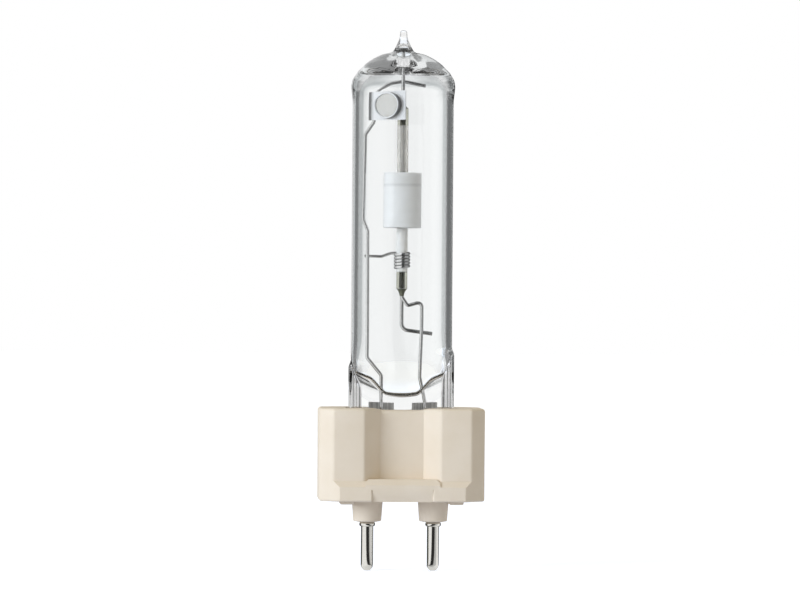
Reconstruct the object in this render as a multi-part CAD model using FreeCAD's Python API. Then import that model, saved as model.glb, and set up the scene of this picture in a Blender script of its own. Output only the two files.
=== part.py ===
import FreeCAD, Part
import math
import os

# Single-ended ceramic metal halide lamp with a two-pin ceramic base, in millimetres.
# Origin: centre of the base's underside, midway between the pins. +Z points up to the exhaust tip.
# X runs through both pins and -Y is the front.

# Ceramic base: two lobes joined by a narrower web
base_length = 30.0
base_height = 16.8
lobe_half_depth = 7.75
lobe_front_inner = 6.9
lobe_facet_run = 2.5
side_half_depth = 5.3
web_half_width = 3.93
web_half_depth = 4.8
web_dip = 0.3
web_dip_half_width = 3.1
web_dip_slope_run = 2.4
corner_radius = 0.9
web_corner_radius = 0.25
rim_radius = 0.6
underside_radius = 0.4

# Foot mouldings of the base
skirt_reach = 1.1
skirt_chamfer = 1.05
block_inner = 5.45
block_height = 3.7
block_round = 0.35
block_facet_share = 0.4
ledge_height = 4.05
ledge_half_width = 6.15
ledge_end_slope = 0.6
ledge_undercut = 0.7
ledge_overlap = 1.0
ledge_face_low = 2.2
foot_inner = 8.6
foot_width = 2.6
foot_drop = 0.65
foot_half_depth = 5.6

# Insulating bosses and contact pins
pin_spacing = 12.0
boss_top_radius = 2.83
boss_tip_radius = 2.57
boss_drop = 4.0
boss_round = 0.2
boss_bevel = 0.15
boss_face_radius = 1.6
pin_radius = 1.12
pin_length = 8.0
pin_nose_height = 1.1
pin_nose_radius = 0.5
collar_radius = 1.45
collar_height = 0.8
collar_round = 0.34
shank_radius = 1.0
pin_bore_radius = 0.6
pin_end_wall = 0.8
rivet_radius = 1.7
rivet_height = 0.45

# Slot that takes the pinch, and its cement
slot_floor = 2.6
slot_gap_x = 0.5
slot_gap_y = 0.6
slot_corner = 1.0
cement_above_pinch_end = 2.0
cement_below_rim = 0.9

# Quartz outer bulb
bulb_radius = 9.2
bulb_wall = 1.1
shoulder_z = 72.4
shoulder_bulge = 0.26
shoulder_share = 0.3
knuckle_share = 0.5
knuckle_inset = 0.3
crown_radius_share = 0.7
crown_share = 0.815
dome_height = 9.0
dome_thickness = 3.45
tip_neck_radius = 2.3
tip_radius = 0.66
tip_height = 4.05
tip_waist_share = 0.62
tip_waist_rise_share = 0.28
tip_head_share = 1.35
tip_head_rise_share = 0.62
exhaust_bore_radius = 1.0
exhaust_bore_rise = 5.3
exhaust_mouth_share = 1.8
exhaust_mouth_rise = 0.15
exhaust_funnel_rise = 0.35
exhaust_throat_rise = 1.2
exhaust_funnel_share = 1.15
exhaust_taper_share = 0.7
exhaust_end_share = 0.25
ceiling_knee_share = 0.25
ceiling_curve_radius_share = 0.87
ceiling_curve_share = 0.6
ceiling_flat_share = 0.52

# Pinch seal at the bulb's lower end
pinch_bottom = 6.0
pinch_half_width = 9.65
pinch_thickness = 3.2
plate_top_above_base = 6.8
rib_width = 2.5
rib_thickness = 5.6
left_rib_above_base = 8.6
right_rib_above_base = 10.8
rib_slope = 2.6
rib_round_share = 0.4
rib_point_share = 0.4
flatten_start_above_base = 12.7
bowl_above_base = 2.5
bowl_sweep_radius = 12.2

# Squeezed ends of the tube: share of the drop, share of the radius in X, share of the radius in Y
outside_ovals = [
    (0.0, 1.0, 1.0), (0.1, 1.0, 0.985), (0.45, 0.985, 0.72), (0.8, 0.93, 0.33), (1.0, 0.86, 0.14),
]
cavity_ovals = [
    (0.0, 1.0, 1.0), (0.1, 1.0, 0.98), (0.45, 0.99, 0.66), (0.8, 0.96, 0.26), (1.0, 0.94, 0.10),
]

# Seals and lead wires
foil_width = 4.6
foil_thickness = 0.06
foil_bottom = 7.6
foil_above_base = 1.05
foil_slot_gap = 0.03
lead_spacing = 7.85
lead_offset = 0.32
weld_overlap = 2.6
wire_radius = 0.31
lead_out_radius = 0.28
weld_gap = 0.01

# Runs of the wires inside the bulb
frame_knee_above_bowl = 3.6
frame_rise_above_bowl = 6.8
frame_low_x = -6.2
frame_step_x = -6.3
frame_wide_x = -7.12
frame_high_x = -6.85
frame_getter_x = -5.28
frame_wire_y = 0.1
step_below_tube = 0.5
step_height = 1.9
shoulder_below_capillary = 4.8
getter_run_below = 3.1
getter_run_above = 1.8
arch_above_getter = 3.5
arch_x = -4.3
arch_top_below_crossing = 0.45
arch_top_x = -2.5
crossing_above_capillary = 6.0
crossing_sag = 0.85
crossing_end_x = 4.2
frame_bend = 1.0
arch_bend = 3.5
hook_bend = 1.3
short_bend = 0.4
loop_bend = 0.7
crest_bend = 0.8
dip_bend = 0.5
short_knee_above_foil = 0.05
short_rise_above_bowl = 3.3
short_low_x = 3.25
short_loop_x = 3.62
loop_below_capillary = 2.55
loop_crest_x = 2.7
loop_dip = 0.5
loop_dip_x = 1.05
weld_below_capillary = 1.5
hook_below_capillary = 7.4
hook_end_x = 5.6
hook_sag = 0.7

# Ceramic discharge vessel
arc_centre_z = 54.5
tube_radius = 3.45
tube_wall = 0.7
tube_length = 10.0
plug_thickness = 2.1
capillary_radius = 1.0
capillary_bore_radius = 0.4
upper_capillary_reach = 11.7
lower_capillary_reach = 11.1
frit_depth = 3.1
upper_frit_cone = 0.9
lower_frit_cone = 1.3
feedthrough_radius = 0.33
molybdenum_radius = 0.29
molybdenum_setback = 2.2
electrode_radius = 0.18
electrode_reach = 1.5
electrode_coil_radius = 0.36
electrode_coil_length = 1.1
electrode_coil_setback = 0.3
seat_gap = 0.02
upper_feedthrough_reach = 8.6

# Ignition coil wound on the lower capillary
coil_wire_radius = 0.25
coil_pitch = 0.57
coil_turns = 5
coil_section_sides = 8
coil_top_below_tube = 4.5
coil_tail_end_x = -6.85
coil_tail_drop = 0.65

# Getter on the long frame wire
getter_width = 7.3
getter_height = 5.6
getter_sheet = 0.2
getter_angle = 35.0
getter_edge_x = -5.73
getter_edge_y = -0.1
getter_centre_z = 71.8
getter_flange = 1.0
getter_flange_turn = 28.0
cup_radius = 2.6
cup_depth = 1.1
cup_wall = 0.16
cup_fill_recess = 0.12
cup_centre_share = 0.53

# Condensed dose inside the discharge tube
salt_radius = 0.75
salt_height = 0.22
mercury_radius = 0.3
dose_offset = 1.85

# Derived levels and places
pin_x = pin_spacing / 2
pin_top = -boss_drop - seat_gap
pin_end = pin_top - collar_height - pin_length
lobe_front_outer = base_length / 2 - lobe_facet_run
bore_radius = bulb_radius - bulb_wall
foil_top = base_height + foil_above_base
bowl_bottom = base_height + bowl_above_base
flatten_start = base_height + flatten_start_above_base
dome_top = shoulder_z + dome_height
cavity_top = dome_top - dome_thickness
tip_top = dome_top + tip_height
tube_bottom = arc_centre_z - tube_length / 2
tube_top = arc_centre_z + tube_length / 2
chamber_low = tube_bottom + plug_thickness
chamber_high = tube_top - plug_thickness
capillary_low = tube_bottom - lower_capillary_reach
capillary_high = tube_top + upper_capillary_reach
crossing_z = capillary_high + crossing_above_capillary
loop_z = capillary_low - loop_below_capillary
hook_z = capillary_low - hook_below_capillary
left_lead_x = lead_offset - lead_spacing / 2
right_lead_x = lead_offset + lead_spacing / 2
lead_front_y = -foil_thickness / 2 - wire_radius - weld_gap
lead_out_y = foil_thickness / 2 + lead_out_radius + weld_gap
slot_half_x = pinch_half_width + slot_gap_x
slot_half_y = rib_thickness / 2 + slot_gap_y


def at(x, y, z):
    return FreeCAD.Vector(x, y, z)


X_AXIS = at(1, 0, 0)
Y_AXIS = at(0, 1, 0)
Z_AXIS = at(0, 0, 1)
CENTRE = at(0, 0, 0)


def outline(start, *steps):
    # Closed face in the XZ plane. A step of one point is a straight line,
    # and a step of two points is an arc through the first to the second.
    edges = []
    here = at(start[0], 0, start[1])
    for step in steps + ((start,),):
        stops = [at(px, 0, pz) for px, pz in step]
        if (stops[-1] - here).Length < 1e-6:
            continue
        if len(stops) == 2:
            edges.append(Part.Arc(here, stops[0], stops[1]).toShape())
        else:
            edges.append(Part.LineSegment(here, stops[0]).toShape())
        here = stops[-1]
    return Part.Face(Part.Wire(edges))


def turned(start, *steps):
    return outline(start, *steps).revolve(CENTRE, Z_AXIS, 360)


def slab(points, low, high):
    # Prism on a plan polygon.
    corners = [at(px, py, low) for px, py in points]
    return Part.Face(Part.makePolygon(corners + corners[:1])).extrude(at(0, 0, high - low))


def beam(points, half_length):
    # Prism along Y on an XZ polygon.
    corners = [at(px, -half_length, pz) for px, pz in points]
    return Part.Face(Part.makePolygon(corners + corners[:1])).extrude(at(0, 2 * half_length, 0))


def rail(points, half_length):
    # Prism along X on a YZ polygon.
    corners = [at(-half_length, py, pz) for py, pz in points]
    return Part.Face(Part.makePolygon(corners + corners[:1])).extrude(at(2 * half_length, 0, 0))


def rounded_box(half_x, half_y, low, high, radius):
    box = Part.makeBox(2 * half_x, 2 * half_y, high - low, at(-half_x, -half_y, low))
    return box.makeFillet(radius, upright_edges(box))


def upright_edges(shape):
    return [e for e in shape.Edges if e.BoundBox.XLength < 1e-6 and e.BoundBox.YLength < 1e-6]


def ring(inner, outer, low, high):
    return turned((inner, low), ((outer, low),), ((outer, high),), ((inner, high),))


def rod(radius, low, high):
    return Part.makeCylinder(radius, high - low, at(0, 0, low))


def bent_wire(points, radius, bends):
    # Round wire through the points: straight runs joined by tangent arcs of the bends' radii.
    nodes = [at(*p) for p in points]
    edges = []
    here = nodes[0]
    for before, corner, after, bend in zip(nodes, nodes[1:], nodes[2:], bends):
        back = (before - corner).normalize()
        ahead = (after - corner).normalize()
        half_turn = (math.pi - back.getAngle(ahead)) / 2
        leg = bend * math.tan(half_turn)
        middle = (back + ahead).normalize() * (bend / math.cos(half_turn) - bend)
        start = corner + back * leg
        end = corner + ahead * leg
        edges.append(Part.LineSegment(here, start).toShape())
        edges.append(Part.Arc(start, corner + middle, end).toShape())
        here = end
    edges.append(Part.LineSegment(here, nodes[-1]).toShape())
    section = Part.Wire(Part.Circle(nodes[0], nodes[1] - nodes[0], radius).toShape())
    return Part.Wire(edges).makePipeShell([section], True, False)


# Ceramic base

def four_way(quarter):
    # Closed plan outline from the points of one quarter, listed from the web to the side.
    right = quarter + [(px, -py) for px, py in reversed(quarter)]
    return right + [(-px, -py) for px, py in right]


def web_dip_cut():
    # Shallow saddle in the web's rim: flat in its middle, with an S-shaped rise at each side.
    half_turn = math.atan(web_dip / web_dip_slope_run)
    bend = web_dip_slope_run / (2 * math.sin(2 * half_turn))
    flat = web_dip_half_width
    edge = flat + web_dip_slope_run
    low = base_height - web_dip
    middle = ((flat + edge) / 2, base_height - web_dip / 2)
    near = (flat + bend * math.sin(half_turn), low + bend * (1 - math.cos(half_turn)))
    far = (edge - bend * math.sin(half_turn), base_height - bend * (1 - math.cos(half_turn)))
    face = outline(
        (flat, low), (near, middle), (far, (edge, base_height)),
        ((edge, base_height + web_dip),), ((-edge, base_height + web_dip),), ((-edge, base_height),),
        (left_of(far), left_of(middle)), (left_of(near), (-flat, low)),
    )
    return face.translated(at(0, -lobe_half_depth, 0)).extrude(at(0, 2 * lobe_half_depth, 0))


def left_of(point):
    return (-point[0], point[1])


def base_body():
    plan = four_way([
        (web_half_width, -web_half_depth),
        (lobe_front_inner, -lobe_half_depth),
        (lobe_front_outer, -lobe_half_depth),
        (base_length / 2, -side_half_depth),
    ])
    body = slab(plan, 0, base_height)
    in_web = [e for e in upright_edges(body) if abs(e.BoundBox.Center.x) < lobe_front_inner - corner_radius]
    body = body.makeFillet(web_corner_radius, in_web)
    in_lobe = [e for e in upright_edges(body) if abs(e.BoundBox.Center.x) > lobe_front_inner - corner_radius]
    body = body.makeFillet(corner_radius, in_lobe)
    body = body.makeFillet(underside_radius, [e for e in body.Edges if e.BoundBox.ZMax < underside_radius])
    body = body.cut(web_dip_cut())
    rim = [e for e in body.Edges if e.BoundBox.ZMin > base_height - 2 * web_dip]
    return body.makeFillet(rim_radius, [e for e in rim if is_outer(e)])


def is_outer(edge):
    # The saddle's seams cross the web, so their middles lie near the XZ plane.
    middle = edge.BoundBox.Center
    seam = abs(middle.y) < seat_gap and edge.BoundBox.XLength < seat_gap
    return not (seam and abs(middle.x) < lobe_front_inner)


def lobe_block(side_x, side_y):
    # Block at a lobe's foot. Its outer facet lies in the plane of the lobe's own.
    facet_drop = lobe_half_depth - side_half_depth
    front = lobe_half_depth + skirt_reach
    outer_x = lobe_front_outer + block_facet_share * lobe_facet_run
    prism = slab([
        (block_inner, front),
        (lobe_front_outer - skirt_reach * lobe_facet_run / facet_drop, front),
        (outer_x, lobe_half_depth - block_facet_share * facet_drop),
        (outer_x, web_half_depth),
        (block_inner, web_half_depth),
    ], 0, block_height)
    corners = [e for e in upright_edges(prism) if e.BoundBox.Center.y > lobe_half_depth]
    prism = prism.makeFillet(block_round, corners)
    block = prism.common(rail([
        (0, 0), (front, 0), (front, block_height - skirt_chamfer),
        (front - skirt_chamfer, block_height), (0, block_height),
    ], base_length))
    low = [e for e in block.Edges if e.BoundBox.ZMax < underside_radius / 2
           and e.BoundBox.Center.y > (front + web_half_depth) / 2]
    block = block.makeFillet(underside_radius, low)
    if side_x < 0:
        block = block.mirror(CENTRE, X_AXIS)
    if side_y < 0:
        block = block.mirror(CENTRE, Y_AXIS)
    return block


def middle_ledge(side_y):
    # Ledge between the blocks: bevelled above and at both ends, drawn back below.
    front = lobe_half_depth + skirt_reach
    section = rail([
        (side_y * (web_half_depth - ledge_overlap), 0),
        (side_y * (front - ledge_undercut), 0),
        (side_y * front, ledge_face_low),
        (side_y * front, ledge_height - skirt_chamfer),
        (side_y * (front - skirt_chamfer), ledge_height),
        (side_y * (web_half_depth - ledge_overlap), ledge_height),
    ], base_length)
    wide = ledge_half_width + ledge_end_slope
    ends = beam([
        (-wide, 0), (wide, 0), (wide, ledge_height - ledge_end_slope),
        (ledge_half_width, ledge_height), (-ledge_half_width, ledge_height),
        (-wide, ledge_height - ledge_end_slope),
    ], 2 * lobe_half_depth)
    ends = ends.cut(beam([
        (block_inner, 0), (wide, 0), (wide, ledge_face_low), (block_inner, ledge_face_low),
    ], 2 * lobe_half_depth))
    ends = ends.cut(beam([
        (-block_inner, 0), (-wide, 0), (-wide, ledge_face_low), (-block_inner, ledge_face_low),
    ], 2 * lobe_half_depth))
    return section.common(ends)


def foot(side_x):
    x_low = foot_inner if side_x > 0 else -foot_inner - foot_width
    box = Part.makeBox(foot_width, 2 * foot_half_depth, foot_drop + 1,
                       at(x_low, -foot_half_depth, -foot_drop))
    return box.makeFillet(foot_drop / 2, [e for e in box.Edges if e.BoundBox.ZMax < -foot_drop + 0.01])


def boss(side_x):
    boss_edge = boss_bevel - boss_drop
    cone = turned(
        (0, 1), ((boss_top_radius, 1),), ((boss_top_radius, 0),),
        ((boss_tip_radius, boss_edge + boss_round),),
        ((boss_tip_radius - 0.3 * boss_round, boss_edge + 0.3 * boss_round),
         (boss_tip_radius - boss_round, boss_edge)),
        ((boss_face_radius, -boss_drop),),
        ((0, -boss_drop),),
    )
    return cone.translated(at(side_x * pin_x, 0, 0))


def ceramic_base():
    solid = base_body()
    for side_y in (-1, 1):
        solid = solid.fuse(middle_ledge(side_y))
        for side_x in (-1, 1):
            solid = solid.fuse(lobe_block(side_x, side_y))
    for side_x in (-1, 1):
        solid = solid.fuse([boss(side_x), foot(side_x)])
    solid = solid.removeSplitter()
    solid = solid.cut(rounded_box(slot_half_x, slot_half_y, slot_floor, base_height + 1, slot_corner))
    for side_x in (-1, 1):
        hole = Part.makeCylinder(shank_radius + seat_gap, slot_floor + boss_drop + 2,
                                 at(side_x * pin_x, 0, -boss_drop - 1))
        solid = solid.cut(hole)
    return solid


def base_cement():
    top = base_height - web_dip - cement_below_rim
    fill = rounded_box(slot_half_x, slot_half_y, pinch_bottom + cement_above_pinch_end, top, slot_corner)
    return fill.cut(pinch())


# Contact pins and the wires welded into their ends

def nose_arc():
    # Arc of the pin's nose, tangent to the pin's side at its upper end.
    step = pin_radius - pin_nose_radius
    bend = (step ** 2 + pin_nose_height ** 2) / (2 * step)
    half_turn = math.asin(pin_nose_height / bend) / 2
    top = pin_end + pin_nose_height
    middle = (pin_radius - bend * (1 - math.cos(half_turn)), top - bend * math.sin(half_turn))
    return (middle, (pin_radius, top))


def contact_pin(side_x):
    collar_bottom = pin_top - collar_height
    shell = turned(
        (pin_bore_radius, slot_floor),
        ((pin_bore_radius, pin_end + pin_end_wall),),
        ((lead_out_radius + seat_gap, pin_end + pin_end_wall),),
        ((lead_out_radius + seat_gap, pin_end),),
        ((pin_nose_radius, pin_end),),
        nose_arc(),
        ((pin_radius, collar_bottom),),
        ((collar_radius - collar_round, collar_bottom),),
        (round_corner(collar_bottom + collar_round, -1), (collar_radius, collar_bottom + collar_round)),
        ((collar_radius, pin_top - collar_round),),
        (round_corner(pin_top - collar_round, 1), (collar_radius - collar_round, pin_top)),
        ((shank_radius, pin_top),),
        ((shank_radius, slot_floor),),
        ((rivet_radius, slot_floor),),
        ((rivet_radius, slot_floor + rivet_height / 2),),
        ((pin_bore_radius + rivet_height / 2, slot_floor + rivet_height),),
    )
    return shell.translated(at(side_x * pin_x, 0, 0))


def round_corner(level, side_z):
    # Middle of the collar's rounded edge.
    reach = collar_round * math.sin(math.pi / 4)
    return (collar_radius - collar_round + reach, level + side_z * reach)


def lead_out_wire(side_x, lead_x):
    knee = (slot_floor + rivet_height + pinch_bottom) / 2
    return bent_wire([
        (lead_x, lead_out_y, foil_bottom + weld_overlap),
        (lead_x, lead_out_y, pinch_bottom - lead_out_radius),
        (side_x * pin_x, 0, knee - rivet_height),
        (side_x * pin_x, 0, pin_end + seat_gap),
    ], lead_out_radius, [2 * lead_out_radius] * 2)


# Pinch seal: foils, glass and the wires that enter it

def sealing_foil(lead_x):
    # Etched foil: thickest along its middle, with feather edges.
    half = foil_width / 2
    edge = foil_thickness / 6
    section = [
        (lead_x - half, -edge), (lead_x, -foil_thickness / 2), (lead_x + half, -edge),
        (lead_x + half, edge), (lead_x, foil_thickness / 2), (lead_x - half, edge),
    ]
    return slab(section, foil_bottom, foil_top)


def foil_slot(lead_x):
    # Clear of the foil by a hair, so that it joins the bores of the wires on either face.
    half_y = foil_thickness / 2 + foil_slot_gap
    return Part.makeBox(foil_width, 2 * half_y, foil_top - foil_bottom,
                        at(lead_x - foil_width / 2, -half_y, foil_bottom))


def oval(half_x, half_y, level):
    if abs(half_x - half_y) < 1e-6:
        curve = Part.Circle(at(0, 0, level), Z_AXIS, half_x)
    else:
        curve = Part.Ellipse(at(half_x, 0, level), at(0, half_y, level), at(0, 0, level))
    return Part.Wire(curve.toShape())


def flattened(radius, shares, bottom):
    # Tube end squeezed in Y from a full circle to a narrow oval.
    drop = flatten_start - bottom
    ovals = [oval(radius * sx, radius * sy, flatten_start - share * drop) for share, sx, sy in shares]
    return Part.makeLoft(ovals, True, False)


def bulb_outside():
    knuckle_x = bulb_radius - knuckle_inset
    knuckle_z = shoulder_z + knuckle_share * dome_height
    cap_z = tip_top - tip_radius
    cap_reach = tip_radius * math.sin(math.pi / 4)
    dome = turned(
        (0, flatten_start), ((bulb_radius, flatten_start),), ((bulb_radius, shoulder_z),),
        ((bulb_radius + shoulder_bulge, shoulder_z + shoulder_share * dome_height), (knuckle_x, knuckle_z)),
        ((crown_radius_share * bulb_radius, shoulder_z + crown_share * dome_height),
         (tip_neck_radius, dome_top)),
        ((tip_waist_share * tip_neck_radius, dome_top + tip_waist_rise_share * tip_height),
         (tip_head_share * tip_radius, dome_top + tip_head_rise_share * tip_height)),
        ((tip_radius, cap_z),),
        ((cap_reach, cap_z + cap_reach), (0, tip_top)),
    )
    return dome.fuse(flattened(bulb_radius, outside_ovals, bowl_bottom))


def rib(side_x, top):
    # Edge rib of the pinch, with a spear-shaped upper end.
    half = rib_width / 2
    box = Part.makeBox(rib_width, rib_thickness, top - pinch_bottom,
                       at(-half, -rib_thickness / 2, pinch_bottom))
    box = box.makeFillet(rib_round_share * rib_width, upright_edges(box))
    spear = beam([
        (-half - 1, pinch_bottom - 1), (half + 1, pinch_bottom - 1), (half + 1, top - rib_slope),
        (side_x * half * rib_point_share, top), (-half - 1, top - rib_slope),
    ], rib_thickness)
    return box.common(spear).translated(at(side_x * (pinch_half_width - half), 0, 0))


def pinch():
    plate_half = pinch_half_width - rib_width / 2
    plate = Part.makeBox(2 * plate_half, pinch_thickness, base_height + plate_top_above_base - pinch_bottom,
                         at(-plate_half, -pinch_thickness / 2, pinch_bottom))
    left = rib(-1, base_height + left_rib_above_base)
    right = rib(1, base_height + right_rib_above_base)
    return plate.fuse([left, right]).removeSplitter()


def bulb_cavity():
    knee_z = shoulder_z + ceiling_knee_share * dome_height
    main = turned(
        (0, flatten_start), ((bore_radius, flatten_start),), ((bore_radius, knee_z),),
        ((ceiling_curve_radius_share * bore_radius, knee_z + ceiling_curve_share * (cavity_top - knee_z)),
         (ceiling_flat_share * bore_radius, cavity_top)),
        ((exhaust_mouth_share * exhaust_bore_radius, cavity_top + exhaust_mouth_rise),),
        ((exhaust_funnel_share * exhaust_bore_radius, cavity_top + exhaust_funnel_rise),
         (exhaust_bore_radius, cavity_top + exhaust_throat_rise)),
        ((exhaust_bore_radius, cavity_top + exhaust_taper_share * exhaust_bore_rise),),
        ((exhaust_end_share * exhaust_bore_radius, cavity_top + exhaust_bore_rise),),
        ((0, cavity_top + exhaust_bore_rise),),
    )
    end = flattened(bore_radius, cavity_ovals, bowl_bottom - bulb_wall / 10)
    bowl = Part.makeCylinder(bowl_sweep_radius, 4 * bulb_radius,
                             at(0, -2 * bulb_radius, bowl_bottom + bowl_sweep_radius), Y_AXIS)
    return main.fuse(end.common(bowl))


def outer_bulb(embedded):
    # The leads and foils sit in bores of their own form, which reach the pinch's lower end.
    glass = bulb_outside().fuse(pinch())
    glass = glass.cut(bulb_cavity())
    return glass.cut(embedded)


def frame_wire_long():
    # Carries current to the top of the discharge vessel and holds the getter.
    behind_y = feedthrough_radius + wire_radius + weld_gap
    step_z = tube_bottom - step_below_tube
    return bent_wire([
        (left_lead_x, lead_front_y, foil_top - weld_overlap),
        (left_lead_x, lead_front_y, bowl_bottom + frame_knee_above_bowl),
        (frame_low_x, frame_wire_y, bowl_bottom + frame_rise_above_bowl),
        (frame_step_x, frame_wire_y, step_z),
        (frame_wide_x, frame_wire_y, step_z + step_height),
        (frame_high_x, frame_wire_y, capillary_high - shoulder_below_capillary),
        (frame_getter_x, frame_wire_y, getter_centre_z - getter_run_below),
        (frame_getter_x, frame_wire_y, getter_centre_z + getter_run_above),
        (arch_x, frame_wire_y, getter_centre_z + arch_above_getter),
        (arch_top_x, behind_y, crossing_z - arch_top_below_crossing),
        (0, behind_y, crossing_z),
        (crossing_end_x, behind_y, crossing_z - crossing_sag),
    ], wire_radius, [frame_bend] * 7 + [arch_bend] * 3)


def lead_in_wire_short():
    # Loops in front of the lower feedthrough and ends against it.
    front_y = -feedthrough_radius - wire_radius - weld_gap
    return bent_wire([
        (right_lead_x, lead_front_y, foil_top - weld_overlap),
        (right_lead_x, lead_front_y, foil_top + short_knee_above_foil),
        (short_low_x, front_y, bowl_bottom + short_rise_above_bowl),
        (short_loop_x, front_y, hook_z),
        (short_loop_x, front_y, loop_z),
        (loop_crest_x, front_y, loop_z),
        (loop_dip_x, front_y, loop_z - loop_dip),
        (0, front_y, capillary_low - weld_below_capillary),
    ], wire_radius, [short_bend] * 3 + [loop_bend, crest_bend, dip_bend])


# Discharge vessel

def discharge_tube():
    return ring(tube_radius - tube_wall, tube_radius, tube_bottom, tube_top)


def end_plug(low):
    return ring(capillary_radius, tube_radius - tube_wall, low, low + plug_thickness)


def capillary(low, high):
    return ring(capillary_bore_radius, capillary_radius, low, high)


def sealing_frit(mouth, side_z, cone):
    # Glass solder: a film round the feedthrough inside the bore and a meniscus outside it.
    film_end = mouth - side_z * frit_depth
    return turned(
        (feedthrough_radius, film_end), ((capillary_bore_radius, film_end),),
        ((capillary_bore_radius, mouth),), ((0.95 * capillary_radius, mouth),),
        ((1.7 * feedthrough_radius, mouth + side_z * 0.45 * cone),
         (feedthrough_radius + 0.06, mouth + side_z * cone)),
        ((feedthrough_radius, mouth + side_z * cone),),
    )


def feedthrough_upper():
    low = capillary_high - frit_depth
    return rod(feedthrough_radius, low, capillary_high + upper_feedthrough_reach)


def feedthrough_lower():
    return bent_wire([
        (0, 0, capillary_low + frit_depth), (0, 0, hook_z), (hook_end_x, 0, hook_z - hook_sag),
    ], feedthrough_radius, [hook_bend])


def molybdenum_rod(seal_end, chamber_end):
    low = min(seal_end, chamber_end)
    high = max(seal_end, chamber_end)
    return rod(molybdenum_radius, low, high)


def electrode(foot_z, tip_z):
    return rod(electrode_radius, min(foot_z, tip_z), max(foot_z, tip_z))


def electrode_coil(tip_z, side_z):
    near = tip_z + side_z * electrode_coil_setback
    far = near + side_z * electrode_coil_length
    return ring(electrode_radius, electrode_coil_radius, min(near, far), max(near, far))


def starting_coil():
    # Close-wound coil whose tail reaches behind the long frame wire.
    coil_radius = capillary_radius + coil_wire_radius + weld_gap
    top = tube_bottom - coil_top_below_tube
    height = coil_pitch * coil_turns
    spine = Part.makeHelix(coil_pitch, height, coil_radius)
    spine.rotate(CENTRE, Z_AXIS, 90)
    spine.translate(at(0, 0, top - height))
    start = at(0, coil_radius, top - height)
    corners = [start + at(0, coil_wire_radius * math.cos(turn), coil_wire_radius * math.sin(turn))
               for turn in (2 * math.pi * i / coil_section_sides for i in range(coil_section_sides))]
    section = Part.makePolygon(corners + corners[:1])
    winding = Part.Wire(spine.Edges).makePipeShell([section], True, True)
    behind_y = frame_wire_y + wire_radius + coil_wire_radius + weld_gap
    tail = bent_wire([
        (0.4 * coil_wire_radius, coil_radius, top),
        (0.28 * coil_tail_end_x, coil_radius, top - 0.15 * coil_tail_drop),
        (0.55 * coil_tail_end_x, behind_y, top - 1.1 * coil_tail_drop),
        (coil_tail_end_x, behind_y, top - coil_tail_drop),
    ], coil_wire_radius, [3 * coil_wire_radius] * 2)
    return winding.fuse(tail)


# Getter

def getter_frame(shape):
    # From the plate's own frame (X along it from its left edge, -Y to the front) to its place.
    turned_shape = shape.rotated(CENTRE, Z_AXIS, -getter_angle)
    return turned_shape.translated(at(getter_edge_x, getter_edge_y, getter_centre_z))


def getter_plate():
    half = getter_height / 2
    plate = Part.makeBox(getter_width, getter_sheet, getter_height, at(0, -getter_sheet / 2, -half))
    flange = Part.makeBox(getter_flange, getter_sheet, getter_height, at(0, -getter_sheet / 2, -half))
    flange.rotate(CENTRE, Z_AXIS, 180 - getter_flange_turn)
    bend = Part.makeCylinder(getter_sheet / 2, getter_height, at(0, 0, -half))
    return getter_frame(plate.fuse([flange, bend]).removeSplitter())


def on_plate(shape):
    # From a +Z axis at the origin to the plate's front face, pointing forward.
    upright = shape.rotated(CENTRE, X_AXIS, 90)
    place = at(cup_centre_share * getter_width, -getter_sheet / 2, 0)
    return getter_frame(upright.translated(place))


def getter_cup():
    return on_plate(turned(
        (0, 0), ((cup_radius, 0),), ((cup_radius, cup_depth - cup_wall),),
        ((cup_radius - 0.3 * cup_wall, cup_depth - 0.3 * cup_wall),
         (cup_radius - cup_wall, cup_depth)),
        ((cup_radius - 2 * cup_wall, cup_depth - cup_wall),),
        ((cup_radius - 2 * cup_wall, cup_wall),), ((0, cup_wall),),
    ))


def getter_fill():
    top = cup_depth - cup_wall - cup_fill_recess
    return on_plate(rod(cup_radius - 2 * cup_wall, cup_wall, top))


# Dose

def salt_dose():
    cap_radius = (salt_radius ** 2 + salt_height ** 2) / (2 * salt_height)
    ball = Part.makeSphere(cap_radius, at(dose_offset, 0, chamber_low + salt_height - cap_radius))
    floor = Part.makeBox(2 * tube_radius, 2 * tube_radius, salt_height,
                         at(0, -tube_radius, chamber_low))
    return ball.common(floor)


def mercury_droplet():
    return Part.makeSphere(mercury_radius, at(-dose_offset, 0, chamber_low + mercury_radius))


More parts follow.
